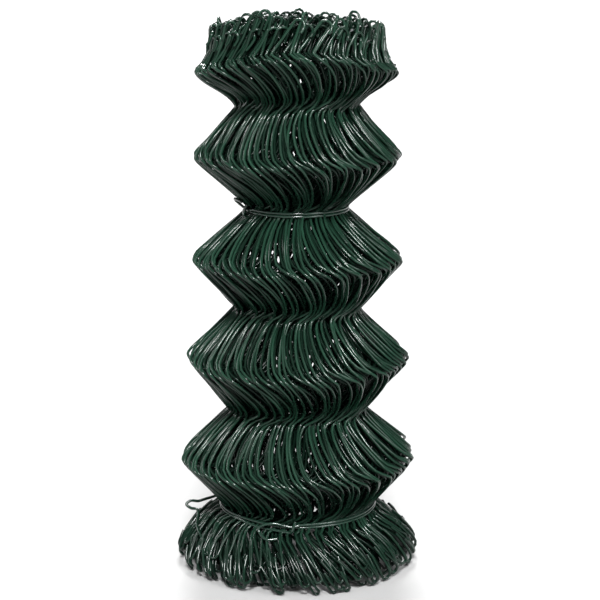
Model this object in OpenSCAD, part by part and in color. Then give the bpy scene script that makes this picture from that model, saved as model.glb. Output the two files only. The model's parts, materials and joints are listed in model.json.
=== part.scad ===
// Compact roll of coated chain-link wire fencing, standing on end.
// The rolled mesh is one turned wall that folds out and in along its height like a bellows,
// because every zigzag wire of the mesh nests in phase with its neighbours. Each turn of the
// mesh shows as a ridge on both ends. Two wire ties, each wound twice round a waist, hold it shut.
// The origin is on the axis, on the floor that the roll stands on.

/* [Mesh] */
// Side of one square opening of the mesh, whose diagonal is the height of a fold
mesh_side = 60; // [50:1:75]
// Wire diameter over its plastic coat
wire_d = 2.4; // [1.8:0.1:3]

/* [Folds] */
// Number of bulges between the skirt and the rim
bulges = 5; // [4:1:9]
// Radius at the fold line of the top bulge, before it is rounded
top_bulge_r = 84; // [78:0.5:95]
// Radius at the fold line of the lowest bulge, before it is rounded
base_bulge_r = 99.5; // [90:0.5:110]
// Radial depth of a fold, from a bulge in to a waist
fold_depth = 38; // [30:0.5:40]
// How much less the top waist draws in, because the roll's free end springs open
top_slack = 5; // [0:0.5:8]
// Radius that a bulge is rounded to
knuckle_r = 6; // [3:0.5:9]
// Radius of the rounding on each side of a waist
waist_round_r = 3; // [1:0.5:4]
// Height of the straight seat at a waist
seat_h = 7; // [5:0.5:10]

/* [Turns] */
// Number of turns of mesh between the bore and the outside
turns = 4; // [2:1:5]
// Radial step from one turn to the next
turn_step = 5; // [4:0.1:5.5]
// Width of the groove between two turns on the ends
turn_gap = 1.6; // [0.8:0.1:2.4]
// Depth of the groove between two turns on the ends
turn_groove_h = 6; // [3:0.5:9]

/* [Skirt and rim] */
// Height of the lowest waist above the floor
skirt_h = 48; // [42:1:60]
// Radius of the skirt at its widest
skirt_r = 103; // [96:0.5:112]
// Height of the widest part of the skirt above the floor
skirt_tip_h = 15; // [11:0.5:18]
// Radius that the skirt's widest part is rounded to
skirt_round_r = 7; // [3:0.5:9]
// How far the skirt's foot lies inside its widest part
foot_tuck = 7; // [3:0.5:12]
// Outer radius of the rim at the top
rim_r = 72; // [66:0.5:76]
// Height of the rim above the top bulge's fold line
rim_h = 37; // [32:0.5:44]
// Height of the straight part of the rim
rim_straight_h = 20; // [14:0.5:22]

/* [Ties] */
// Waist that the upper tie goes round, counted up from 0 at the lowest
upper_tie_waist = 3; // [1:1:3]
// How far the upper tie draws its waist in
upper_tie_pull = 8; // [4:0.5:10]
// How far the lower tie draws its waist in
lower_tie_pull = 1.5; // [0:0.5:6]
// Direction of the upper tie's knot, from +X towards +Y
upper_knot_angle = 205; // [0:1:359]
// Length of the upper tie's curled tail
upper_tail_len = 22; // [18:0.5:26]
// Height of the curl in the upper tie's tail
upper_tail_h = 7; // [6:0.5:9]
// Direction of the lower tie's knot, from +X towards +Y
lower_knot_angle = 267; // [0:1:359]
// Length of the lower tie's curled tail
lower_tail_len = 29; // [22:0.5:36]
// Height of the curl in the lower tie's tail
lower_tail_h = 10; // [8:0.5:13]
// Clearance between a tie and the waist that it sits on
tie_clearance = 0.3; // [0.2:0.05:0.6]
// Clearance between two strands of a tie that lie side by side
strand_clearance = 0.1; // [0.05:0.05:0.5]

/* [Hidden] */

coat_green = "#12402d";

// Heights of the folds
pitch = mesh_side * sqrt(2);
function waist_z(i) = skirt_h + i * pitch;
function bulge_z(i) = skirt_h + (i + 0.5) * pitch;
top_z = bulge_z(bulges - 1) + rim_h;

// Radii of the folds: the roll is looser, and so wider, towards its base
function flare(z) = pow((bulge_z(bulges - 1) - z) / (bulge_z(bulges - 1) - bulge_z(0)), 2);
function fold_line_r(z) = top_bulge_r + (base_bulge_r - top_bulge_r) * flare(z);
function bulge_r(i) = fold_line_r(bulge_z(i));
function tie_pull(i) = i == 0 ? lower_tie_pull : i == upper_tie_waist ? upper_tie_pull : 0;
function slack(i) = i == bulges - 1 ? top_slack : 0;
function waist_r(i) = fold_line_r(waist_z(i)) - fold_depth + slack(i) - tie_pull(i);

// The wall: its turns, side by side, with a groove between each two of them at the ends
ridge_w = turn_step - turn_gap;
wall = turns * turn_step - turn_gap;
crest_steps = 6;
round_steps = 4;

// The foot, from which the skirt leans out to its widest part
foot_r = skirt_r - foot_tuck;
foot_lean = foot_tuck / skirt_tip_h;

// Wire of the ties
tie_sides = 8;
lap = wire_d + strand_clearance;           // from one strand's centre to the next
first_layer = wire_d / 2 + tie_clearance;  // from the seat to the centre of a strand on it
second_layer = first_layer + lap;
third_layer = second_layer + lap;
spline_steps = 4;
side_guide = [0.31, 0.17, 0.94];           // any direction that no wire starts along

// Angles round the roll, from the knot, where a tie's strands start, step down and end, and where
// the wire then lifts into the wrap
strand_step = 7.5;
strands_from = 2 * strand_step;
step_from = 360 - 5 * strand_step;
step_to = 360;
strands_to = 720 - 6 * strand_step;
wrap_from = strands_to + 19;

// Curled tails of the ties, from their tips: shares of a tail's length along the roll and of its height
upper_tail_shares = [[0.25, 0.95], [0.5, 1.05], [0.8, 1.05], [1, 0.75], [0.9, 0.42], [0.6, 0.25], [0.3, 0.1]];
lower_tail_shares = [[0.45, -0.8], [0.75, -0.85], [0.98, -0.35], [0.88, 0.12], [0.55, 0.3], [0.25, 0.12]];

function unit(v) = v / norm(v);

// A corner of an outline at p, between a and b, rounded to radius r; a radius of 0 leaves it sharp
function rounded_corner(a, p, b, r) =
    r == 0 ? [p] :
    let (u = unit(a - p), v = unit(b - p), half = acos(u * v) / 2, turn = 180 - 2 * half)
    let (centre = p + unit(u + v) * r / sin(half))
    let (from = p + u * r / tan(half) - centre, to = p + v * r / tan(half) - centre)
    [for (k = [0:round_steps])
        centre + (from * sin(turn * (1 - k / round_steps)) + to * sin(turn * k / round_steps)) / sin(turn)];

// An open outline through corners of the form [r, z, rounding radius]
function rounded_line(corners) = [
    for (k = [0:len(corners) - 1])
    let (p = [corners[k][0], corners[k][1]])
    let (before = corners[max(k - 1, 0)], after = corners[min(k + 1, len(corners) - 1)])
    each rounded_corner([before[0], before[1]], p, [after[0], after[1]], corners[k][2])
];

// Face of the wall, from the floor up to the rim's crest, moved in from the outside by inset
function wall_face(inset) = rounded_line(concat(
    [[foot_r - inset, 0, 0], [skirt_r - inset, skirt_tip_h, skirt_round_r]],
    [for (i = [0:bulges - 1]) each [
        [waist_r(i) - inset, waist_z(i) - seat_h / 2, waist_round_r],
        [waist_r(i) - inset, waist_z(i) + seat_h / 2, waist_round_r],
        [bulge_r(i) - inset, bulge_z(i), knuckle_r]
    ]],
    [[rim_r - inset, top_z - rim_straight_h, waist_round_r], [rim_r - inset, top_z - ridge_w / 2, 0]]
));

// Rim seen from the outermost turn inwards: a round crest for each turn and a groove after all but the last
function rim_crests() = [
    for (k = [0:turns - 1])
    let (centre = rim_r - k * turn_step - ridge_w / 2, spring_z = top_z - ridge_w / 2)
    each concat(
        [for (s = [1:crest_steps - 1])
            let (a = 180 * s / crest_steps)
            [centre + ridge_w / 2 * cos(a), spring_z + ridge_w / 2 * sin(a)]],
        k == turns - 1 ? [] : [
            [centre - ridge_w / 2, top_z - turn_groove_h],
            [centre - ridge_w / 2 - turn_gap, top_z - turn_groove_h],
            [centre - ridge_w / 2 - turn_gap, spring_z]
        ]
    )
];

// Foot seen from the innermost turn outwards: a flat land for each turn and a groove after all but the last,
// which leans as the skirt does
function foot_lands() = [
    for (k = [turns - 1:-1:1])
    let (land_r = foot_r - k * turn_step, top_r = land_r + foot_lean * turn_groove_h)
    each [[land_r, 0], [top_r, turn_groove_h], [top_r + turn_gap, turn_groove_h], [land_r + turn_gap, 0]]
];

function reversed(list) = [for (k = [len(list) - 1:-1:0]) list[k]];

// The rolled mesh: turned wall with its bore
module mesh_roll() {
    color(coat_green)
    rotate_extrude($fn = 128)
    polygon(concat(wall_face(0), rim_crests(), reversed(wall_face(wall)), foot_lands()));
}

// Smooth line through control points
function smooth_line(p) = [
    for (k = [0:len(p) - 2], s = [0:spline_steps - 1])
    let (t = s / spline_steps)
    let (a = p[max(k - 1, 0)], b = p[k], c = p[k + 1], d = p[min(k + 2, len(p) - 1)])
    (2 * b + (c - a) * t + (2 * a - 5 * b + 4 * c - d) * t * t + (3 * b - a - 3 * c + d) * t * t * t) / 2
];

// Round wire along a line of points
module wire(line) {
    n = len(line);
    ahead = [for (k = [0:n - 1]) unit(line[min(k + 1, n - 1)] - line[max(k - 1, 0)])];
    side = [for (k = 0, v = unit(cross(ahead[0], side_guide)); k < n; k = k + 1,
        v = k < n ? unit(v - (v * ahead[k]) * ahead[k]) : v) v];
    points = [for (k = [0:n - 1], s = [0:tie_sides - 1])
        let (a = 360 * s / tie_sides)
        line[k] + wire_d / 2 * (cos(a) * side[k] + sin(a) * cross(ahead[k], side[k]))];
    skin = [for (k = [0:n - 2], s = [0:tie_sides - 1])
        let (a = k * tie_sides + s, b = k * tie_sides + (s + 1) % tie_sides)
        each [[a, a + tie_sides, b], [b, a + tie_sides, b + tie_sides]]];
    start_cap = [for (s = [0:tie_sides - 1]) s];
    end_cap = [for (s = [tie_sides - 1:-1:0]) (n - 1) * tie_sides + s];
    polyhedron(points, concat(skin, [start_cap, end_cap]));
}

// How fast the wall stands out beside waist i, per unit of height, on the side that the sign gives
function wall_slope(i, side) =
    side > 0 ? (bulge_r(i) - waist_r(i)) / (pitch / 2 - seat_h / 2) :
    i > 0 ? (bulge_r(i - 1) - waist_r(i)) / (pitch / 2 - seat_h / 2) :
    (skirt_r - waist_r(0)) / (skirt_h - seat_h / 2 - skirt_tip_h);

// A tie: one wire that starts in a curled tail, winds twice round waist i and ends in a wrap over
// its own start
module tie(i, knot_angle, tail_len, tail_h, tail_shares) {
    seat_r = waist_r(i);
    strand_up = lap / 2;
    out_dir = [cos(knot_angle), sin(knot_angle), 0];
    left_dir = [sin(knot_angle), -cos(knot_angle), 0];

    // A point by its angle round the roll from the knot, and one by its distance left of the knot
    function around(angle, out, up) =
        [(seat_r + out) * cos(knot_angle + angle), (seat_r + out) * sin(knot_angle + angle), waist_z(i) + up];
    function beside(left, out, up) = (seat_r + out) * out_dir + left * left_dir + [0, 0, waist_z(i) + up];

    // How far the wall stands out from the seat at a height above or below it
    function wall_out(up) = wall_slope(i, sign(up)) * max(0, abs(up) - seat_h / 2);

    // The two turns are one line of strands, which steps down by a wire's width just before the knot
    function strand_height(angle) =
        strand_up * cos(180 * min(max((angle - step_from) / (step_to - step_from), 0), 1));

    tail = [for (share = tail_shares)
        let (up = tail_h * share[1])
        beside(tail_len * share[0], second_layer + wall_out(up), up)];
    crossing = [beside(0, second_layer, 0), beside(-2 * lap, (first_layer + second_layer) / 2, 0.5 * lap)];
    strands = [for (angle = [strands_from:strand_step:strands_to])
        around(angle, first_layer, strand_height(angle))];
    last = len(strands) - 1;
    wrap = [
        around(wrap_from, second_layer + wall_out(-lap), -lap),
        beside(3.4 * lap, second_layer + wall_out(-1.5 * lap), -1.5 * lap),
        beside(1.2 * lap, second_layer + 0.6 * lap, -1.7 * lap),
        beside(0.2 * lap, third_layer + 0.3 * lap, -0.9 * lap),
        beside(-0.1 * lap, third_layer + 0.4 * lap, 0.2 * lap),
        beside(-0.4 * lap, third_layer + 0.2 * lap, 1.3 * lap),
        beside(-0.7 * lap, second_layer + 0.8 * lap, 2.1 * lap)
    ];
    color(coat_green)
    wire(concat(
        smooth_line(concat(tail, crossing, [strands[0], strands[1]])),
        [for (k = [1:last - 2]) strands[k]],
        smooth_line(concat([strands[last - 1], strands[last]], wrap)),
        [wrap[len(wrap) - 1]]
    ));
}

module tie_upper() {
    tie(upper_tie_waist, upper_knot_angle, upper_tail_len, upper_tail_h, upper_tail_shares);
}

module tie_lower() {
    tie(0, lower_knot_angle, lower_tail_len, lower_tail_h, lower_tail_shares);
}

mesh_roll();
tie_upper();
tie_lower();
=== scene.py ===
"""Compact roll of coated chain-link fencing: its turns of wire, its ties and its studio."""

import json
import math

import bpy
import numpy as np
from bpy.props import FloatProperty, FloatVectorProperty, IntProperty, PointerProperty
from bpy.types import Operator, Panel, PropertyGroup
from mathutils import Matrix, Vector

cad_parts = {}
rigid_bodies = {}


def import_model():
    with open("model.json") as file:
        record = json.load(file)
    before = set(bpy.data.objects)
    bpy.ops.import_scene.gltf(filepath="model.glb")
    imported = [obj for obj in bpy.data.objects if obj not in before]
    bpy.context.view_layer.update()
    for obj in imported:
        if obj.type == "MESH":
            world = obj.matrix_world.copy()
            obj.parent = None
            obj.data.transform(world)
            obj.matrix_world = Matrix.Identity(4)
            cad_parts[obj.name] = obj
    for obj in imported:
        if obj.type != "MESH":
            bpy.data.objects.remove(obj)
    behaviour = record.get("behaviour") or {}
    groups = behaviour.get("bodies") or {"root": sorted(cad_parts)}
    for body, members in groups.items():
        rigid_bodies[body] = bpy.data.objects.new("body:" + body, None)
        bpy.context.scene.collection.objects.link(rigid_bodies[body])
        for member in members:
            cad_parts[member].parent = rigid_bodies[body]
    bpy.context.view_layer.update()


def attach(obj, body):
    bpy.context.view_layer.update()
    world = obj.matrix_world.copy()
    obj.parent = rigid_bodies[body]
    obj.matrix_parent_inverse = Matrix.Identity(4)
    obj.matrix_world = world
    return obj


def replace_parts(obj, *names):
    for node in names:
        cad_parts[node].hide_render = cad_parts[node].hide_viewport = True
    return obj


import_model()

bl_info = {
    "name": "Chain-link fencing roll",
    "version": (1, 0, 0),
    "blender": (4, 5, 0),
    "location": "View3D > Sidebar > Fencing",
    "description": "Builds a compact roll of coated chain-link fencing with its wire ties",
    "category": "Add Mesh",
}

MM = 0.001
FULL_TURN = 2 * math.pi
FINE_STEPS = 6  # steps to each stretch of a smooth line
TIE_STEPS = 3  # the same for a tie
END_STEPS = 2  # the same for a wire end

# where a wire lies to the side over a fold, waist to waist, as shares of the fold and its reach
SIDE_WAYS = (
    (0.0, 0.0),
    (0.04, -0.25),
    (0.1, -0.45),
    (0.18, -0.58),
    (0.28, -0.62),
    (0.38, -0.54),
    (0.435, -0.34),
    (0.475, 0.06),
    (0.515, 0.48),
    (0.57, 0.76),
    (0.65, 1.0),
    (0.76, 1.14),
    (0.86, 1.1),
    (0.92, 0.88),
    (0.96, 0.5),
    (1.0, 0.0),
)
REACH = (0.55, 1.35)  # least and greatest share of the reach that a wire has

# wire ends at the rim: ranges to draw from, in mm, in degrees or as shares of a setting
RIM_SHORT_MM = (4, 11)  # how much shorter every other end is
RIM_UNEVEN_MM = (-5, 4)  # how much higher a loop stands
RIM_SET_BACK = (0.6, 1.0)  # of the reach
RIM_LEAN = (14, 38)
RIM_SWING = (-75, 30)  # outermost loops: out of the roll's face, at the least and greatest lean
RIM_LOOP = (0.9, 1.45)  # of the loop width
RIM_RETURN = (0.1, 1.2)  # of the rim return
RIM_SLOPE = ((0.55, 0.35), (0.95, 0.75))  # shares of the way in and of the bend's height
RIM_KINK = ((0, 0), (-0.36, 3), (-0.62, 6.5), (-0.62, 9))  # share of the set-back, mm along

# the same for the wire ends at the skirt
SKIRT_SET_BACK = (0.1, 0.8)
SKIRT_LEAN = (10, 46)
SKIRT_LOOP = (0.65, 1.35)
SKIRT_RETURN = (0.5, 1.3)
SKIRT_SLOPE = ((0.23, 0.17), (0.68, 0.53))  # shares of the way out and of the drop
SKIRT_KINK = ((0, 0), (-0.6, 7), (-0.75, 16))  # share of the set-back, mm along

# noise patterns in the coat: scale, detail, and the values at which they begin and are full
BLOTCHES = (60.0, 3.0, 0.3, 0.7)
RUBBING = (240.0, 4.0, 0.63, 0.74)
DULLNESS = (35.0, 2.0, 0.35, 0.7)
GRAIN = (900.0, 2.0)  # scale and detail of the fine bumps

# softboxes round the roll: bearing from the front, rise above the horizon, half width (degrees)
SOFTBOXES = {
    "front_light": (0, 46, 7),
    "left_light": (-109, 40, 5),
    "right_light": (48, 40, 11),
    "back_light": (180, 45, 9.3),
}
SOFT_EDGE = (1.3, 0.7)  # where a softbox begins and is full, as shares of its half width
OVERHEAD = (0.42, 0.94)  # heights of the sky at which the overhead light begins and is full
HORIZON = (0.06, 0.03)  # the same for the pale strip along the horizon


def length(name, description, default):
    """A length property, in metres."""
    return FloatProperty(
        name=name, description=description, default=default, unit="LENGTH", precision=4
    )


def angle(name, description, degrees):
    """An angle property, given in degrees."""
    radians = math.radians(degrees)
    return FloatProperty(name=name, description=description, default=radians, subtype="ANGLE")


def factor(name, description, default):
    """A property from 0 to 1."""
    return FloatProperty(
        name=name, description=description, default=default, min=0, max=1, subtype="FACTOR"
    )


def number(name, description, default):
    """A plain number property."""
    return FloatProperty(name=name, description=description, default=default)


def count(name, description, default):
    """A whole number of things."""
    return IntProperty(name=name, description=description, default=default, min=0)


def colour(name, description, default):
    """A colour property, in linear values."""
    return FloatVectorProperty(
        name=name, description=description, default=default, min=0, max=1, subtype="COLOR"
    )


class FenceFolds(PropertyGroup):
    """The bellows shape that the zigzag wires give the roll"""

    mesh_side: length(
        "Mesh side", "Side of one square opening; its diagonal is the height of a fold", 60 * MM
    )
    bulges: count("Bulges", "Bulges between the skirt and the rim", 5)
    top_bulge: length("Top bulge", "Outer radius of the top bulge", 82.2 * MM)
    base_bulge: length("Base bulge", "Outer radius of the lowest bulge", 97.8 * MM)
    fold_depth: length("Fold depth", "Radial depth of a fold", 36.3 * MM)
    top_slack: length("Top slack", "How much less the free top end draws in at its waist", 5 * MM)
    upper_pull: length("Upper pull", "How far the upper tie draws its waist in", 8 * MM)
    lower_pull: length("Lower pull", "How far the lower tie draws its waist in", 1.5 * MM)
    upper_tie_waist: count(
        "Upper tie's waist", "Waist that the upper tie goes round, from 0 at the lowest", 3
    )
    skirt_height: length("Skirt height", "Height of the lowest waist above the floor", 48 * MM)
    bulge_bend: factor("Bulge bend", "Sharpness of a wire's bend at a bulge", 0.986)
    waist_bend: factor("Waist bend", "Sharpness of a wire's bend at a waist", 0.98)
    side_sag: length("Side sag", "How far the loose top end sinks at its left and right", 15 * MM)


class FenceWires(PropertyGroup):
    """The wires of the mesh"""

    diameter: length("Diameter", "Wire diameter over its coat", 2.4 * MM)
    turns: count("Turns", "Turns of mesh between the bore and the outside", 4)
    turn_step: length("Turn step", "Radial step from one turn to the next", 5 * MM)
    wires: count("Wires", "Zigzag wires in the whole fence", 354)
    # painted shade: each turn further in gets a darker, less glossy coat, standing in for the shade
    # inside the roll
    painted_turn_shade: factor("Turn shade", "Share of its tone that each turn further in keeps", 0.36)
    variants: count("Variants", "Differently bent wires of each hand that a turn is mixed from", 7)
    counter_turn: count(
        "Counter turn", "Turn whose wires lie the other way round, from 0 at the outside", 2
    )
    reach: length("Reach", "Sideways reach of the flat spiral that each wire is bent to", 13 * MM)
    drift: length("Drift", "How far a wire leans round the roll over one fold", 12 * MM)
    wander: length("Wander", "How far a wire strays from its place", 3 * MM)
    pair_draw: length("Pair draw", "How far the ends of two neighbours draw together", 0.5 * MM)
    place_jitter: factor(
        "Place jitter", "Share of the spacing by which a wire is out of place", 0.6
    )
    inner_stray: factor(
        "Inner stray", "Share of their straying that wires in the inner half of the turns keep", 0.4
    )
    seed: count("Seed", "Seed of the irregular bends", 7)
    outer_sides: count("Outer sides", "Sides of a wire in the outer half of the turns", 7)
    inner_sides: count("Inner sides", "Sides of a wire in the inner half of the turns", 6)


class FenceEnds(PropertyGroup):
    """The bent-over wire ends at the rim and the skirt"""

    rim_radius: length("Rim radius", "Outer radius of the rim", 71.5 * MM)
    rim_bend: length(
        "Rim bend", "Height above the top bulge at which the wires turn upright", 17 * MM
    )
    rim_height: length("Rim height", "Height of the rim's loops above the top bulge", 35 * MM)
    skirt_radius: length("Skirt radius", "Radius of the skirt at its widest", 100.5 * MM)
    skirt_tip: length("Skirt tip", "Height of the skirt's widest part", 12 * MM)
    foot_radius: length("Foot radius", "Radius of the loops on the floor", 99 * MM)
    loop_width: length("Loop width", "Width of the bend that turns a wire end back", 7 * MM)
    rim_return: length(
        "Rim return", "Length of the end that runs back from a loop at the rim", 9 * MM
    )
    skirt_return: length(
        "Skirt return", "Length of the end that runs back from a loop at the skirt", 26 * MM
    )
    return_lift: length(
        "Return lift", "How far an end that runs back lies outside its own wire", 2.6 * MM
    )


class FenceTies(PropertyGroup):
    """The two wire ties"""

    sides: count("Sides", "Sides of a tie's wire", 12)
    clearance: length(
        "Clearance", "Clearance between a tie and the waist that it sits on", 0.3 * MM
    )
    strand_clearance: length(
        "Strand clearance", "Clearance between two strands side by side", 0.1 * MM
    )
    seat_height: length("Seat height", "Height of the straight seat at a waist", 7 * MM)
    upper_knot: angle("Upper knot", "Direction of the upper tie's knot from +X", 205)
    upper_tail: length("Upper tail", "Length of the upper tie's curled tail", 22 * MM)
    upper_wall: number("Upper wall", "Slope of the wall above the upper tie", 1.15)
    upper_curl: length("Upper curl", "Height of the curl in the upper tie's tail", 7 * MM)
    lower_knot: angle("Lower knot", "Direction of the lower tie's knot from +X", 267)
    lower_tail: length("Lower tail", "Length of the lower tie's curled tail", 29 * MM)
    lower_curl: length("Lower curl", "Height of the curl in the lower tie's tail", 10 * MM)
    lower_wall: number("Lower wall", "Slope of the skirt below the lower tie", 1.32)


class FenceCoat(PropertyGroup):
    """Plastic coat of the wires"""

    green: colour("Green", "Colour of the coat", (0.0096, 0.032, 0.0196))
    # dark end of the coat's colour, reached through random tone and blotches and through painted
    # shade in the inner turns and near the floor
    dark_tone_and_shade: colour(
        "Deep green", "Colour of the darkest wires, deep in the roll", (0.001, 0.003, 0.002)
    )
    tie_green: colour("Tie green", "Colour of the ties' coat", (0.013, 0.04, 0.026))
    scuff: colour("Scuff", "Colour of the rubbed places", (0.012, 0.032, 0.0216))
    core: colour("Core", "Steel that shows at the cut ends", (0.2, 0.205, 0.21))
    # painted shade: the coat's colour darkens towards the floor, standing in for the shade under
    # the lowest bulge
    painted_foot_shade: factor(
        "Foot shade", "Share of its tone that the coat keeps near the floor, where it is shaded", 0.5
    )
    roughness: factor("Roughness", "Roughness of the coat where it is smoothest", 0.11)
    gloss: factor("Gloss", "Specular level of the wires' coat", 0.25)
    tie_gloss: factor("Tie gloss", "Specular level of the ties' coat", 0.6)


class FenceStage(PropertyGroup):
    """Floor, light and camera"""

    floor_tone: colour("Floor", "Colour of the floor", (0.31, 0.31, 0.31))
    front_light: number("Front light", "Strength of the softbox in front of the roll", 126)
    left_light: number("Left light", "Strength of the softbox on the left", 25)
    right_light: number("Right light", "Strength of the softbox on the right", 14)
    back_light: number("Back light", "Strength of the softbox behind the roll", 65)
    top_light: number("Top light", "Strength of the soft light from overhead", 0.9)
    horizon_light: number("Horizon light", "Strength of the pale strip along the horizon", 0.95)
    room_light: number("Room light", "Strength of the light from all round", 0.07)
    aim_side: length("Aim side", "How far right of the roll's axis the camera looks", 2 * MM)
    aim_height: length("Aim height", "Height that the camera looks at", 0.2235)
    distance: length("Distance", "Distance of the camera from the point it looks at", 1.489)
    elevation: angle("Elevation", "Camera angle above the horizon", 13)
    lens: number("Lens", "Focal length in millimetres", 107.1)


def fold_pitch(folds):
    """Height of one fold, the diagonal of a mesh opening."""
    return folds.mesh_side * math.sqrt(2)


def waist_height(folds, i):
    """Height of waist i, counted from 0 at the lowest."""
    return folds.skirt_height + i * fold_pitch(folds)


def bulge_height(folds, i):
    """Height of bulge i, counted from 0 at the lowest."""
    return folds.skirt_height + (i + 0.5) * fold_pitch(folds)


def bulge_radius(folds, z):
    """Outer radius that the bulges follow: the roll is looser towards its base."""
    top = bulge_height(folds, folds.bulges - 1)
    base = bulge_height(folds, 0)
    return folds.top_bulge + (folds.base_bulge - folds.top_bulge) * ((top - z) / (top - base)) ** 2


def waist_radius(folds, i):
    """Outer radius of the mesh at waist i."""
    radius = bulge_radius(folds, waist_height(folds, i)) - folds.fold_depth
    if i == folds.bulges - 1:
        radius += folds.top_slack
    if i == folds.upper_tie_waist:
        radius -= folds.upper_pull
    if i == 0:
        radius -= folds.lower_pull
    return radius


def smooth_line(points, steps):
    """Points along a smooth line through the given ones, with so many steps to each stretch."""
    p = np.asarray(points, float)
    p = np.vstack([2 * p[0] - p[1], p, 2 * p[-1] - p[-2]])
    t = np.linspace(0, 1, steps, endpoint=False)[:, None]
    stretches = []
    for a, b, c, d in zip(p[:-3], p[1:-2], p[2:-1], p[3:]):
        slope, bend, turn = c - a, 2 * a - 5 * b + 4 * c - d, 3 * b - a - 3 * c + d
        stretches.append((2 * b + slope * t + bend * t**2 + turn * t**3) / 2)
    return np.vstack(stretches + [p[-2:-1]])


def zigzag_share(folds, phase):
    """How far out a wire is, from 0 at a waist (phase 0) to 1 at a bulge (phase 0.5)."""
    swing = np.cos(FULL_TURN * phase)
    bend = folds.waist_bend + (folds.bulge_bend - folds.waist_bend) * (1 - swing) / 2
    slack = np.arccos(bend)
    return (np.arccos(bend * swing) - slack) / (math.pi - 2 * slack)


def sideways_share(phase):
    """How far a wire lies to the side, as a share of its reach; it crosses over at its bends."""
    shares, sides = smooth_line(SIDE_WAYS, FINE_STEPS).T
    return np.interp(phase % 1, shares, sides)


def folded_run(folds, wires, inset, lay, rng):
    """One wire from the top bulge down to the lowest waist, as rows of radius, angle and height."""
    points_per_leg = 11
    crowding = 0.72
    height_slip = 1.3 * MM
    radius_slip = 1.3 * MM
    share = np.arange(points_per_leg) / points_per_leg
    share = share - crowding * np.sin(FULL_TURN * share) / FULL_TURN
    spring_line = waist_height(folds, folds.bulges)
    reach = lay * wires.reach * rng.uniform(*REACH)
    mean_radius = (folds.top_bulge + folds.base_bulge - folds.fold_depth) / 2 - inset
    twist = lay * wires.drift / mean_radius

    stops = []
    for i in reversed(range(folds.bulges)):
        stops.append((bulge_height(folds, i), bulge_radius(folds, bulge_height(folds, i))))
        stops.append((waist_height(folds, i), waist_radius(folds, i)))
    slips = rng.normal(0, 1, (len(stops), 2)) * (height_slip, radius_slip)
    slips[-1] = 0

    rows = []
    for (z_a, r_a), (z_b, r_b), slip_a, slip_b in zip(stops, stops[1:], slips, slips[1:]):
        height = z_a + (z_b - z_a) * share
        phase = (spring_line - height) / fold_pitch(folds)
        radius = min(r_a, r_b) + abs(r_a - r_b) * zigzag_share(folds, phase)
        slip = slip_a + (slip_b - slip_a) * share[:, None]
        turned = twist * phase + reach * sideways_share(phase) / (radius - inset)
        rows.append(np.column_stack([radius + slip[:, 1], turned, height + slip[:, 0]]))
    end_phase = (spring_line - stops[-1][0]) / fold_pitch(folds)
    rows.append([[stops[-1][1], twist * end_phase, stops[-1][0]]])
    line = np.vstack(rows)
    line[:, 0] -= inset + wires.diameter / 2
    return line


def hook(lean, swing, width, back, hand):
    """A bent-over end: half a circle, then back, as (side, along, out) from its start."""
    bend_points = 7
    tail_stops = np.array([[0.35], [0.7], [1.0]])
    ahead = np.array([math.sin(lean), math.cos(lean), 0])
    flat = hand * math.cos(swing)
    aside = np.array([flat * math.cos(lean), -flat * math.sin(lean), math.sin(swing)])
    bend = np.linspace(0, math.pi, bend_points)[:, None]
    arc = (aside * (1 - np.cos(bend)) + ahead * np.sin(bend)) * width / 2
    tail = arc[-1] - ahead * back * tail_stops
    return np.vstack([arc, tail])


def end_run(ends, start, profile, approach, lean, swing, width, back, hand):
    """A wire end laid on a (radius, height) profile: from start by its approach to a hook."""
    marks = np.concatenate([[0], np.cumsum(np.linalg.norm(np.diff(profile, axis=0), axis=1))])
    slant = hand * math.sin(lean) * math.cos(swing)
    bend_at = marks[-1] - width / 2 * (math.hypot(slant, math.cos(lean)) - slant)
    last = approach[-1]
    bend_start = np.array([last[0] + math.tan(lean) * (bend_at - last[1]), bend_at])
    hooked = hook(lean, swing, width, back, hand)
    plane = np.vstack([approach, bend_start + hooked[:, :2]])
    lift = hooked[:, 2] + np.linspace(0, 1, len(hooked)) ** 2 * ends.return_lift
    lift = np.concatenate([np.zeros(len(approach)), lift])
    line = smooth_line(np.column_stack([plane, lift]), END_STEPS)
    radius = np.interp(line[:, 1], marks, profile[:, 0]) + line[:, 2]
    height = np.interp(line[:, 1], marks, profile[:, 1])
    return np.column_stack([radius, start[1] + line[:, 0] / radius, height])


def rim_run(folds, wires, ends, start, inset, hand, rng):
    """The wire end above the top bulge: in to the rim, upright, and bent over in a loop."""
    inner_drop = 0.4
    settle = 4 * MM
    bulge_z = bulge_height(folds, folds.bulges - 1)
    bend_z = bulge_z + ends.rim_bend
    short = 0 if hand > 0 else rng.uniform(*RIM_SHORT_MM) * MM
    uneven = rng.uniform(*RIM_UNEVEN_MM) * MM
    top_z = bulge_z + ends.rim_height + uneven - inner_drop * inset - short
    way_in = folds.top_bulge - ends.rim_radius
    profile = smooth_line(
        [
            (start[0], bulge_z),
            *((start[0] - a * way_in, bulge_z + b * ends.rim_bend) for a, b in RIM_SLOPE),
            (start[0] - way_in, bend_z + settle),
            (start[0] - way_in, top_z),
        ],
        FINE_STEPS,
    )
    set_back = wires.reach * rng.uniform(*RIM_SET_BACK)
    approach = np.array([(a * set_back, b * MM) for a, b in RIM_KINK])
    degrees = rng.uniform(*RIM_LEAN)
    lean = math.radians(degrees)
    swing = 0 if inset else math.radians(np.interp(degrees, RIM_LEAN, RIM_SWING))
    width = ends.loop_width * rng.uniform(*RIM_LOOP)
    back = ends.rim_return * rng.uniform(*RIM_RETURN)
    return end_run(ends, start, profile, approach, lean, swing, width, back, 1)


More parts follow.
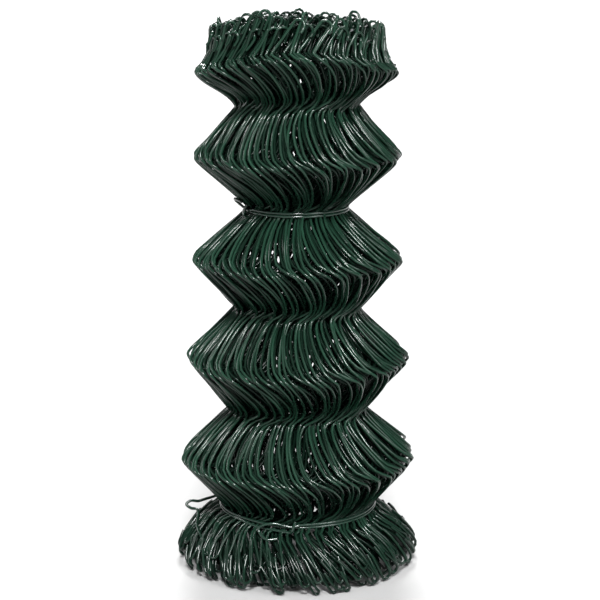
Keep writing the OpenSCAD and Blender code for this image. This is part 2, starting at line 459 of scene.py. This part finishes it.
def skirt_run(folds, wires, ends, start, inset, hand, rng):
    """The wire end below the lowest waist: out over the skirt, down, and bent back in a loop."""
    highest = 6 * MM
    inner_lift = 0.5
    shortest = 14
    waist_z, waist_r = folds.skirt_height, waist_radius(folds, 0)
    out, drop = ends.skirt_radius - waist_r, waist_z - ends.skirt_tip
    floor_z = wires.diameter / 2 + rng.uniform(0, highest + inner_lift * inset)
    profile = smooth_line(
        [
            (start[0], waist_z),
            *((start[0] + a * out, waist_z - b * drop) for a, b in SKIRT_SLOPE),
            (start[0] + out, ends.skirt_tip),
            (start[0] + out + ends.foot_radius - ends.skirt_radius, floor_z),
        ],
        FINE_STEPS,
    )
    if hand < 0:
        profile = profile[: rng.integers(shortest, len(profile) - 1)]
    set_back = wires.reach * rng.uniform(*SKIRT_SET_BACK)
    approach = np.array([(a * set_back, b * MM) for a, b in SKIRT_KINK])
    lean = math.radians(rng.uniform(*SKIRT_LEAN))
    width = ends.loop_width * rng.uniform(*SKIRT_LOOP)
    back = ends.skirt_return * rng.uniform(*SKIRT_RETURN)
    return end_run(ends, start, profile, approach, lean, 0, width, back, hand)


def bent_wire(scene, turn, hand, rng):
    """Centre line of one wire of a turn, counted from 0 at the outside.

    Wires of hand -1 have shorter ends, and their loops at the skirt turn the other way.
    """
    folds, wires, ends = scene.fence_folds, scene.fence_wires, scene.fence_ends
    inset = turn * wires.turn_step
    lay = -1 if turn == wires.counter_turn else 1
    run = folded_run(folds, wires, inset, lay, rng)
    rim = rim_run(folds, wires, ends, run[0], inset, hand, rng)[:0:-1]
    skirt = skirt_run(folds, wires, ends, run[-1], inset, hand, rng)[1:]
    return upright(np.vstack([rim, run, skirt]))


def upright(line):
    """Points in space for rows of radius, angle and height."""
    radius, turned, height = line.T
    return np.column_stack([radius * np.cos(turned), radius * np.sin(turned), height])


def curve_object(name, points):
    """A curve object with one line, whose tips are doubled so that a cut end stays crisp."""
    tip = 0.05 * MM
    start = points[0] + (points[1] - points[0]) * tip / np.linalg.norm(points[1] - points[0])
    end = points[-1] + (points[-2] - points[-1]) * tip / np.linalg.norm(points[-2] - points[-1])
    points = np.vstack([points[:1], start, points[1:-1], end, points[-1:]])
    data = bpy.data.curves.new(name, "CURVE")
    data.dimensions = "3D"
    spline = data.splines.new("POLY")
    spline.points.add(len(points) - 1)
    spline.points.foreach_set("co", np.column_stack([points, np.ones(len(points))]).ravel())
    return bpy.data.objects.new(name, data)


class NodeBench:
    """Adds nodes to a tree, each fed by name with sockets or plain values."""

    def __init__(self, tree):
        self.tree = tree

    def add(self, kind, feeds=None, **settings):
        """A new node with its settings, fed by socket name or number."""
        node = self.tree.nodes.new(kind)
        for key, value in settings.items():
            setattr(node, key, value)
        for key, value in (feeds or {}).items():
            self.feed(node.inputs[key], value)
        return node

    def feed(self, socket, value):
        """Links a socket to another, or sets its value."""
        if isinstance(value, bpy.types.NodeSocket):
            self.tree.links.new(value, socket)
        else:
            socket.default_value = value

    def math(self, operation, a, b=0.0):
        """Result of a calculation with two numbers."""
        return self.add("ShaderNodeMath", {0: a, 1: b}, operation=operation).outputs[0]

    def vector(self, operation, a, b=(0, 0, 0)):
        """Result of a calculation with one vector or two."""
        return self.add("ShaderNodeVectorMath", {0: a, 1: b}, operation=operation).outputs[0]

    def dot(self, a, b):
        """The dot product of two vectors."""
        node = self.add("ShaderNodeVectorMath", {0: a, 1: b}, operation="DOT_PRODUCT")
        return node.outputs["Value"]

    def scaled(self, vector, scale):
        """A vector times a number."""
        feeds = {0: vector, "Scale": scale}
        return self.add("ShaderNodeVectorMath", feeds, operation="SCALE").outputs[0]

    def combine(self, x=0.0, y=0.0, z=0.0):
        """A vector from three numbers."""
        return self.add("ShaderNodeCombineXYZ", {0: x, 1: y, 2: z}).outputs[0]

    def separate(self, vector):
        """The three numbers of a vector."""
        return self.add("ShaderNodeSeparateXYZ", {0: vector}).outputs

    def step(self, value, low, high):
        """A smooth step from 0 at one value to 1 at another."""
        feeds = {"Value": value, "From Min": low, "From Max": high}
        return self.add("ShaderNodeMapRange", feeds, interpolation_type="SMOOTHSTEP").outputs[0]

    def random(self, kind, low, high, seed):
        """A random number for each element."""
        # sockets by number, because each kind has its own of the same name
        lowest, result = {"FLOAT": (2, 1), "INT": (4, 2)}[kind]
        feeds = {lowest: low, lowest + 1: high, "Seed": seed}
        return self.add("FunctionNodeRandomValue", feeds, data_type=kind).outputs[result]

    def store(self, geometry, name, value, domain):
        """Geometry with a named number stored on it."""
        feeds = {"Geometry": geometry, "Name": name, "Value": value}
        node = self.add("GeometryNodeStoreNamedAttribute", feeds, data_type="FLOAT", domain=domain)
        return node.outputs[0]

    def stored(self, name):
        """A named number that was stored on the geometry."""
        feeds = {"Name": name}
        return self.add("GeometryNodeInputNamedAttribute", feeds, data_type="FLOAT").outputs[0]


def new_tree(name, inputs):
    """A geometry tree with named inputs, as (tree, bench, input sockets by name)."""
    tree = bpy.data.node_groups.new(name, "GeometryNodeTree")
    tree.is_modifier = True
    tree.interface.new_socket("Geometry", in_out="OUTPUT", socket_type="NodeSocketGeometry")
    for label, kind in inputs:
        tree.interface.new_socket(label, in_out="INPUT", socket_type="NodeSocket" + kind)
    bench = NodeBench(tree)
    given = bench.add("NodeGroupInput").outputs
    return tree, bench, given


def sweep_nodes(bench, given, curve):
    """Nodes that sweep round wire along a curve, mark its cut ends, and end the tree."""
    tips = bench.add("GeometryNodeCurveEndpointSelection", {"Start Size": 1, "End Size": 1})
    marked = bench.store(curve, "cut", tips.outputs[0], "POINT")
    radius = bench.math("MULTIPLY", given["Wire Diameter"], 0.5)
    feeds = {"Resolution": given["Sides"], "Radius": radius}
    section = bench.add("GeometryNodeCurvePrimitiveCircle", feeds)
    feeds = {"Curve": marked, "Profile Curve": section.outputs[0], "Fill Caps": True}
    swept = bench.add("GeometryNodeCurveToMesh", feeds).outputs[0]
    smooth = bench.add("GeometryNodeSetShadeSmooth", {"Geometry": swept}).outputs[0]
    real = bench.add("GeometryNodeRealizeInstances", {"Geometry": smooth}).outputs[0]
    feeds = {"Geometry": real, "Material": given["Coat"]}
    coated = bench.add("GeometryNodeSetMaterial", feeds).outputs[0]
    bench.add("NodeGroupOutput", {"Geometry": coated})


def turn_tree():
    """Tree that stands bent wires round the roll, lets them stray and gives them thickness."""
    tone_range = (0.6, 1.0)
    noise_scale, noise_detail, noise_apart = 19.0, 1.0, 97.0
    noise_gain, out_share, up_share = 4.0, 0.5, 0.12
    back_sag = 0.4
    tree, bench, given = new_tree(
        "Rolled turn",
        [
            ("Bent Wires", "Collection"),
            ("Variants", "Int"),
            ("Wires", "Int"),
            ("Place Jitter", "Float"),
            ("Wander", "Float"),
            ("Pair Draw", "Float"),
            ("Skirt Height", "Float"),
            ("Side Sag", "Float"),
            ("Sag From", "Float"),
            ("Sag To", "Float"),
            ("Rim Top", "Float"),
            ("Wire Diameter", "Float"),
            ("Sides", "Int"),
            ("Seed", "Int"),
            ("Painted Shade", "Float"),
            ("Coat", "Material"),
        ],
    )
    places = bench.add("GeometryNodePoints", {"Count": given["Wires"]}).outputs[0]
    index = bench.add("GeometryNodeInputIndex").outputs[0]
    odd = bench.math("MODULO", index, 2.0)
    last_variant = bench.math("SUBTRACT", given["Variants"], 1)
    variant = bench.random("INT", 0, last_variant, given["Seed"])
    pick = bench.math("ADD", variant, bench.math("MULTIPLY", odd, given["Variants"]))
    jitter = bench.random("FLOAT", -0.5, 0.5, bench.math("ADD", given["Seed"], 1))
    step = bench.math("ADD", index, bench.math("MULTIPLY", jitter, given["Place Jitter"]))
    turned = bench.math("MULTIPLY", bench.math("DIVIDE", step, given["Wires"]), FULL_TURN)
    source = bench.add(
        "GeometryNodeCollectionInfo",
        {"Collection": given["Bent Wires"], "Separate Children": True, "Reset Children": True},
    )
    standing = bench.add(
        "GeometryNodeInstanceOnPoints",
        {
            "Points": places,
            "Instance": source.outputs[0],
            "Pick Instance": True,
            "Instance Index": pick,
            "Rotation": bench.combine(z=turned),
        },
    )
    # each wire's own random tone, times the painted shade of its turn
    tone = bench.random("FLOAT", *tone_range, bench.math("ADD", given["Seed"], 2))
    tone = bench.math("MULTIPLY", tone, given["Painted Shade"])
    toned = bench.store(standing.outputs[0], "tone", tone, "INSTANCE")
    hand = bench.math("SUBTRACT", bench.math("MULTIPLY", odd, 2.0), 1.0)
    paired = bench.store(toned, "pair", hand, "INSTANCE")
    lines = bench.add("GeometryNodeRealizeInstances", {"Geometry": paired}).outputs[0]

    place = bench.add("GeometryNodeInputPosition").outputs[0]
    x, y, z = bench.separate(place)
    outward = bench.vector("NORMALIZE", bench.combine(x, y))
    aside = bench.vector("CROSS_PRODUCT", (0, 0, 1), outward)
    noise = bench.add(
        "ShaderNodeTexNoise",
        {
            "Vector": bench.combine(z=z),
            "W": bench.math("MULTIPLY", bench.stored("tone"), noise_apart),
            "Scale": noise_scale,
            "Detail": noise_detail,
        },
        noise_dimensions="4D",
    )
    stray = bench.vector("SUBTRACT", noise.outputs["Color"], (0.5, 0.5, 0.5))
    stray = bench.scaled(stray, bench.math("MULTIPLY", given["Wander"], noise_gain))
    out_by, side_by, up_by = bench.separate(stray)
    at_skirt = bench.step(z, given["Skirt Height"], 0.0)
    at_rim = bench.step(z, given["Sag To"], given["Rim Top"])
    drawn = bench.math("MULTIPLY", bench.math("ADD", at_skirt, at_rim), bench.stored("pair"))
    side_by = bench.math("ADD", side_by, bench.math("MULTIPLY", drawn, given["Pair Draw"]))
    out_by = bench.math("MULTIPLY", out_by, out_share)
    moved = bench.vector("ADD", bench.scaled(outward, out_by), bench.scaled(aside, side_by))

    sagging = bench.step(z, given["Sag From"], given["Sag To"])
    to_right, to_back, _ = bench.separate(outward)
    behind = bench.math("POWER", bench.math("MAXIMUM", to_back, 0.0), 2.0)
    behind = bench.math("MULTIPLY", behind, back_sag)
    sideness = bench.math("ADD", bench.math("POWER", to_right, 2.0), behind)
    sag = bench.math("MULTIPLY", bench.math("MULTIPLY", sagging, sideness), given["Side Sag"])
    off_floor = bench.math("MULTIPLY", bench.step(z, 0.0, given["Skirt Height"]), up_share)
    up_by = bench.math("SUBTRACT", bench.math("MULTIPLY", up_by, off_floor), sag)
    moved = bench.vector("ADD", moved, bench.combine(z=up_by))
    strayed = bench.add("GeometryNodeSetPosition", {"Geometry": lines, "Offset": moved}).outputs[0]

    lowest = bench.math("MULTIPLY", given["Wire Diameter"], 0.5)
    on_floor = bench.combine(x, y, bench.math("MAXIMUM", z, lowest))
    laid = bench.add("GeometryNodeSetPosition", {"Geometry": strayed, "Position": on_floor})
    sweep_nodes(bench, given, laid.outputs[0])
    return tree


def wire_tree():
    """Tree that gives a single curve the thickness of wire."""
    tone = 0.8
    inputs = [
        ("Geometry", "Geometry"),
        ("Wire Diameter", "Float"),
        ("Sides", "Int"),
        ("Coat", "Material"),
    ]
    tree, bench, given = new_tree("Single wire", inputs)
    toned = bench.store(given["Geometry"], "tone", tone, "POINT")
    sweep_nodes(bench, given, toned)
    return tree


def made_by_tree(name, source, tree, values):
    """A plain mesh object from what a tree makes of a source object, which is then removed."""
    bpy.context.scene.collection.objects.link(source)
    modifier = source.modifiers.new(tree.name, "NODES")
    modifier.node_group = tree
    for item in tree.interface.items_tree:
        if item.in_out == "INPUT" and item.name in values:
            modifier[item.identifier] = values[item.name]
    graph = bpy.context.evaluated_depsgraph_get()
    mesh = bpy.data.meshes.new_from_object(source.evaluated_get(graph), depsgraph=graph)
    if not mesh.polygons:
        raise RuntimeError(f"{name} came out empty")
    mesh.name = name
    source.modifiers.remove(modifier)
    bpy.data.objects.remove(source)
    piece = bpy.data.objects.new(name, mesh)
    bpy.context.scene.collection.objects.link(piece)
    return piece


def coat_material(name, coat, lightest, gloss):
    """Glossy coat: a green for each wire, painted shade in the inner turns and by the floor, rubbed
    and dull places, steel tips.
    """
    # heights of the painted shade near the floor: full below the first, gone above the second
    darkest_below, undarkened_from = 25 * MM, 60 * MM
    blotch_shade, rubbed_most = 0.7, 0.6
    dull_by, rubbed_roughness = 0.1, 0.55
    # gloss of the darkest tones is lowered as painted shade of the inner turns
    lit_tone, shade_gloss = 0.6, 0.05
    grain_strength, grain_depth = 0.04, 0.2 * MM
    material = bpy.data.materials.new(name)
    material.use_nodes = True
    material.node_tree.nodes.clear()
    bench = NodeBench(material.node_tree)
    place = bench.add("ShaderNodeTexCoord").outputs["Object"]

    def noise(scale, detail):
        """Soft noise through the wire."""
        feeds = {"Vector": place, "Scale": scale, "Detail": detail}
        return bench.add("ShaderNodeTexNoise", feeds).outputs["Fac"]

    def spread(value, low, high, to_low, to_high):
        """A number taken from one range to another, held at its ends."""
        feeds = {
            "Value": value,
            "From Min": low,
            "From Max": high,
            "To Min": to_low,
            "To Max": to_high,
        }
        return bench.add("ShaderNodeMapRange", feeds).outputs[0]

    def pattern(scale, detail, begins, full, to_low, to_high):
        """A noise pattern, taken to a range."""
        return spread(noise(scale, detail), begins, full, to_low, to_high)

    def mixed(share, a, b):
        """One colour mixed into another."""
        # the colour sockets go by number, because they share their names with others
        first, second, result = 6, 7, 2
        node = bench.add("ShaderNodeMix", {"Factor": share}, data_type="RGBA")
        bench.feed(node.inputs[first], a)
        bench.feed(node.inputs[second], b)
        return node.outputs[result]

    tone = bench.add("ShaderNodeAttribute", attribute_name="tone").outputs["Fac"]
    cut = bench.add("ShaderNodeAttribute", attribute_name="cut").outputs["Fac"]
    # painted shade: colour darkened near the floor
    undarkened = spread(bench.separate(place)[2], darkest_below, undarkened_from, coat.painted_foot_shade, 1.0)
    blotches = pattern(*BLOTCHES, blotch_shade, 1.0)
    # random tone and blotches, with the painted shade of the inner turns and near the floor
    mottle_and_shade = bench.math("MULTIPLY", bench.math("MULTIPLY", tone, undarkened), blotches)
    green = mixed(mottle_and_shade, (*coat.dark_tone_and_shade, 1), (*lightest, 1))
    rubbed = pattern(*RUBBING, 0.0, rubbed_most)
    worn = mixed(rubbed, green, (*coat.scuff, 1))
    dull = pattern(*DULLNESS, coat.roughness, coat.roughness + dull_by)
    feeds = {"Height": noise(*GRAIN), "Strength": grain_strength, "Distance": grain_depth}
    grain = bench.add("ShaderNodeBump", feeds)
    shader = bench.add(
        "ShaderNodeBsdfPrincipled",
        {
            "Base Color": mixed(cut, worn, (*coat.core, 1)),
            "Roughness": bench.math(
                "MAXIMUM", dull, bench.math("MULTIPLY", rubbed, rubbed_roughness)
            ),
            "Metallic": cut,
            # painted shade: less gloss for the darker tones of the inner turns
            "Specular IOR Level": spread(tone, 0.0, lit_tone, shade_gloss, gloss),
            "Normal": grain.outputs[0],
        },
    )
    bench.add("ShaderNodeOutputMaterial", {"Surface": shader.outputs[0]})
    return material


def fitted(piece):
    """Lets a finished piece go with the roll."""
    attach(piece, "root")
    return piece


class FENCE_OT_turns(Operator):
    """Makes every turn of the rolled mesh, from the outside in"""

    bl_idname = "fence.turns"
    bl_label = "Turns of mesh"

    def execute(self, context):
        seed_step = 11
        scene = context.scene
        folds, wires = scene.fence_folds, scene.fence_wires
        top_bulge = bulge_height(folds, folds.bulges - 1)
        tree = turn_tree()
        finish = scene.fence_coat
        coat = coat_material("Green wire coat", finish, finish.green, finish.gloss)
        for turn in range(wires.turns):
            rng = np.random.default_rng(wires.seed + turn)
            bent = bpy.data.collections.new("bent wires")
            scene.collection.children.link(bent)
            for variant in range(2 * wires.variants):
                hand = -1 if variant < wires.variants else 1
                points = bent_wire(scene, turn, hand, rng)
                bent.objects.link(curve_object(f"bent_wire_{variant:02d}", points))
            name = f"wire_turn_{turn + 1}"
            outer = turn < wires.turns / 2
            loose = 1 if outer else wires.inner_stray
            values = {
                "Bent Wires": bent,
                "Variants": wires.variants,
                "Wires": wires.wires // wires.turns + (turn < wires.wires % wires.turns),
                "Place Jitter": wires.place_jitter * loose,
                "Wander": wires.wander * loose,
                "Pair Draw": wires.pair_draw,
                "Skirt Height": folds.skirt_height,
                "Side Sag": folds.side_sag,
                "Sag From": waist_height(folds, folds.bulges - 1),
                "Sag To": top_bulge,
                "Rim Top": top_bulge + scene.fence_ends.rim_height,
                "Wire Diameter": wires.diameter,
                "Sides": wires.outer_sides if outer else wires.inner_sides,
                "Seed": wires.seed + seed_step * turn,
                # painted shade of this turn
                "Painted Shade": wires.painted_turn_shade**turn,
                "Coat": coat,
            }
            empty = bpy.data.meshes.new(name + "_source")
            source = bpy.data.objects.new(name + "_source", empty)
            piece = made_by_tree(name, source, tree, values)
            for strand in list(bent.objects):
                bpy.data.objects.remove(strand)
            bpy.data.collections.remove(bent)
            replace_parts(fitted(piece), "mesh_roll")
        return {"FINISHED"}


# curled tails of the ties from their tips, as shares of a tail's length and of its curl's height
UPPER_TAIL = (
    (0.25, 0.95),
    (0.5, 1.05),
    (0.8, 1.05),
    (1, 0.75),
    (0.9, 0.42),
    (0.6, 0.25),
    (0.3, 0.1),
)
LOWER_TAIL = ((0.45, -0.8), (0.75, -0.85), (0.98, -0.35), (0.88, 0.12), (0.55, 0.3), (0.25, 0.12))
# wrap of a tie over its own start: to the left, out from the second strand and up, in laps
TIE_WRAP = (
    (1.2, 0.6, -1.7),
    (0.2, 1.3, -0.9),
    (-0.1, 1.4, 0.2),
    (-0.4, 1.2, 1.3),
    (-0.7, 0.8, 2.1),
)


def tie_line(scene, waist, knot, tail_shares, tail_length, curl_height, wall_slope):
    """Centre line of a tie: curled tail, two turns round a waist, and a wrap over its own start."""
    # degrees round the roll from the knot
    first_at, last_at, point_step, wrap_at = 15, 675, 7.5, 694
    cross_from, cross_over = 322.5, 37.5
    folds, ties, wire = scene.fence_folds, scene.fence_ties, scene.fence_wires.diameter
    seat_r, seat_z = waist_radius(folds, waist), waist_height(folds, waist)
    lap = wire + ties.strand_clearance
    first = wire / 2 + ties.clearance
    second = first + lap
    out_way = np.array([math.cos(knot), math.sin(knot), 0])
    left_way = np.array([math.sin(knot), -math.cos(knot), 0])

    def around(degrees, out, up):
        """A place round the waist from the knot."""
        a = knot + math.radians(degrees)
        return np.array([(seat_r + out) * math.cos(a), (seat_r + out) * math.sin(a), seat_z + up])

    def beside(left, out, up):
        """A place straight to the left of the knot."""
        return (seat_r + out) * out_way + left * left_way + np.array([0, 0, seat_z + up])

    def wall_out(up):
        """How far the wall above or below the seat stands out."""
        return wall_slope * max(0, abs(up) - ties.seat_height / 2)

    def strand_height(degrees):
        """Height of the strands: the upper one, then a crossing to the lower one."""
        share = min(max((degrees - cross_from) / cross_over, 0), 1)
        return lap / 2 * math.cos(math.pi * share)

    tail = [
        beside(tail_length * a, second + wall_out(curl_height * b), curl_height * b)
        for a, b in tail_shares
    ]
    crossing = [beside(0, second, 0), beside(-2 * lap, (first + second) / 2, 0.5 * lap)]
    places = np.arange(first_at, last_at + point_step / 2, point_step)
    strands = [around(a, first, strand_height(a)) for a in places]
    wrap = [
        around(wrap_at, second + wall_out(-lap), -lap),
        beside(3.4 * lap, second + wall_out(-1.5 * lap), -1.5 * lap),
        *(beside(a * lap, second + b * lap, c * lap) for a, b, c in TIE_WRAP),
    ]
    return smooth_line(np.vstack([tail, crossing, strands, wrap]), TIE_STEPS)


class FENCE_OT_ties(Operator):
    """Makes the two wire ties"""

    bl_idname = "fence.ties"
    bl_label = "Wire ties"

    def execute(self, context):
        scene = context.scene
        folds, ties, wires = scene.fence_folds, scene.fence_ties, scene.fence_wires
        finish = scene.fence_coat
        coat = coat_material("Green tie coat", finish, finish.tie_green, finish.tie_gloss)
        lines = {
            "tie_upper": tie_line(
                scene,
                folds.upper_tie_waist,
                ties.upper_knot,
                UPPER_TAIL,
                ties.upper_tail,
                ties.upper_curl,
                ties.upper_wall,
            ),
            "tie_lower": tie_line(
                scene,
                0,
                ties.lower_knot,
                LOWER_TAIL,
                ties.lower_tail,
                ties.lower_curl,
                ties.lower_wall,
            ),
        }
        tree = wire_tree()
        values = {"Wire Diameter": wires.diameter, "Sides": ties.sides, "Coat": coat}
        for node, line in lines.items():
            piece = made_by_tree(node + "_wire", curve_object(node + "_line", line), tree, values)
            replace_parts(fitted(piece), node)
        return {"FINISHED"}


# loose wire end at the left, in mm: out over the lower tie, round in an eye, down over the skirt
STRAY_END = (
    (-59, 6, 54),
    (-68, 1, 52),
    (-77.7, -1, 49.5),
    (-85, -2, 47.6),
    (-91, -3, 48.3),
    (-95, -5, 45.8),
    (-91, -7, 43),
    (-86, -10, 43.2),
    (-84.5, -15, 41),
    (-85, -25, 34),
    (-81, -36, 28.5),
    (-75, -43, 25),
)


class FENCE_OT_stray(Operator):
    """Makes the loose wire end that stands off the skirt"""

    bl_idname = "fence.stray"
    bl_label = "Stray wire end"

    def execute(self, context):
        scene = context.scene
        finish = scene.fence_coat
        coat = coat_material("Stray wire coat", finish, finish.green, finish.gloss)
        values = {
            "Wire Diameter": scene.fence_wires.diameter,
            "Sides": scene.fence_ties.sides,
            "Coat": coat,
        }
        line = smooth_line(np.array(STRAY_END) * MM, FINE_STEPS)
        piece = made_by_tree("stray_wire", curve_object("stray_line", line), wire_tree(), values)
        fitted(piece)
        return {"FINISHED"}


class FENCE_OT_stage(Operator):
    """Makes the floor, the lights and the camera"""

    bl_idname = "fence.stage"
    bl_label = "Stage"

    def execute(self, context):
        scene = context.scene
        stage = scene.fence_stage
        scene.view_settings.view_transform = "Standard"
        self.floor(scene, stage)
        self.sky(scene, stage)
        self.camera(scene, stage)
        return {"FINISHED"}

    def floor(self, scene, stage):
        """A wide pale floor."""
        half, roughness, gloss = 60.0, 0.9, 0.1
        mesh = bpy.data.meshes.new("floor")
        corners = [(-half, -half, 0), (half, -half, 0), (half, half, 0), (-half, half, 0)]
        mesh.from_pydata(corners, [], [(0, 1, 2, 3)])
        floor = bpy.data.objects.new("floor", mesh)
        scene.collection.objects.link(floor)
        paper = bpy.data.materials.new("Pale floor")
        paper.use_nodes = True
        shader = paper.node_tree.nodes["Principled BSDF"]
        shader.inputs["Base Color"].default_value = (*stage.floor_tone, 1)
        shader.inputs["Roughness"].default_value = roughness
        shader.inputs["Specular IOR Level"].default_value = gloss
        mesh.materials.append(paper)

    def sky(self, scene, stage):
        """A dim room with a few softboxes, light from overhead and a pale horizon."""
        begins, full = SOFT_EDGE
        world = bpy.data.worlds.new("Studio")
        scene.world = world
        world.use_nodes = True
        world.node_tree.nodes.clear()
        bench = NodeBench(world.node_tree)
        way = bench.add("ShaderNodeTexCoord").outputs["Generated"]
        height = bench.separate(way)[2]
        overhead = bench.math("MULTIPLY", bench.step(height, *OVERHEAD), stage.top_light)
        strip = bench.math("MULTIPLY", bench.step(height, *HORIZON), stage.horizon_light)
        strength = bench.math("ADD", bench.math("ADD", overhead, strip), stage.room_light)
        for name, degrees in SOFTBOXES.items():
            bearing, rise, spread = (math.radians(value) for value in degrees)
            level = math.cos(rise)
            toward = (level * math.sin(bearing), -level * math.cos(bearing), math.sin(rise))
            near = bench.dot(way, toward)
            box = bench.step(near, math.cos(spread * begins), math.cos(spread * full))
            glow = bench.math("MULTIPLY", box, getattr(stage, name))
            strength = bench.math("ADD", glow, strength)
        feeds = {"Color": (1, 1, 1, 1), "Strength": strength}
        background = bench.add("ShaderNodeBackground", feeds)
        bench.add("ShaderNodeOutputWorld", {"Surface": background.outputs[0]})

    def camera(self, scene, stage):
        """The camera, at the height and distance that the roll is seen from."""
        data = bpy.data.cameras.new("Camera")
        data.lens = stage.lens
        camera = bpy.data.objects.new("Camera", data)
        scene.collection.objects.link(camera)
        back = stage.distance * math.cos(stage.elevation)
        up = stage.distance * math.sin(stage.elevation)
        aim = Vector((stage.aim_side, 0, stage.aim_height))
        camera.location = (stage.aim_side, -back, stage.aim_height + up)
        camera.rotation_euler = (aim - camera.location).to_track_quat("-Z", "Y").to_euler()
        scene.camera = camera


class FENCE_PT_panel(Panel):
    """Lists the steps that build the roll"""

    bl_idname = "FENCE_PT_panel"
    bl_label = "Chain-link roll"
    bl_space_type = "VIEW_3D"
    bl_region_type = "UI"
    bl_category = "Fencing"

    def draw(self, context):
        for step in STEPS:
            self.layout.operator(step.bl_idname)


SETTINGS = {
    "fence_folds": FenceFolds,
    "fence_wires": FenceWires,
    "fence_ends": FenceEnds,
    "fence_ties": FenceTies,
    "fence_coat": FenceCoat,
    "fence_stage": FenceStage,
}
STEPS = (FENCE_OT_turns, FENCE_OT_ties, FENCE_OT_stray, FENCE_OT_stage)


def register():
    """Adds the settings, the steps and the panel to Blender."""
    for cls in (*SETTINGS.values(), *STEPS, FENCE_PT_panel):
        bpy.utils.register_class(cls)
    for name, group in SETTINGS.items():
        setattr(bpy.types.Scene, name, PointerProperty(type=group))


def unregister():
    """Takes them out again."""
    for name in SETTINGS:
        delattr(bpy.types.Scene, name)
    for cls in (FENCE_PT_panel, *STEPS, *SETTINGS.values()):
        bpy.utils.unregister_class(cls)


def main():
    """Builds the roll on its stage."""
    register()
    bpy.ops.fence.turns()
    bpy.ops.fence.ties()
    bpy.ops.fence.stray()
    bpy.ops.fence.stage()


if __name__ == "__main__":
    main()
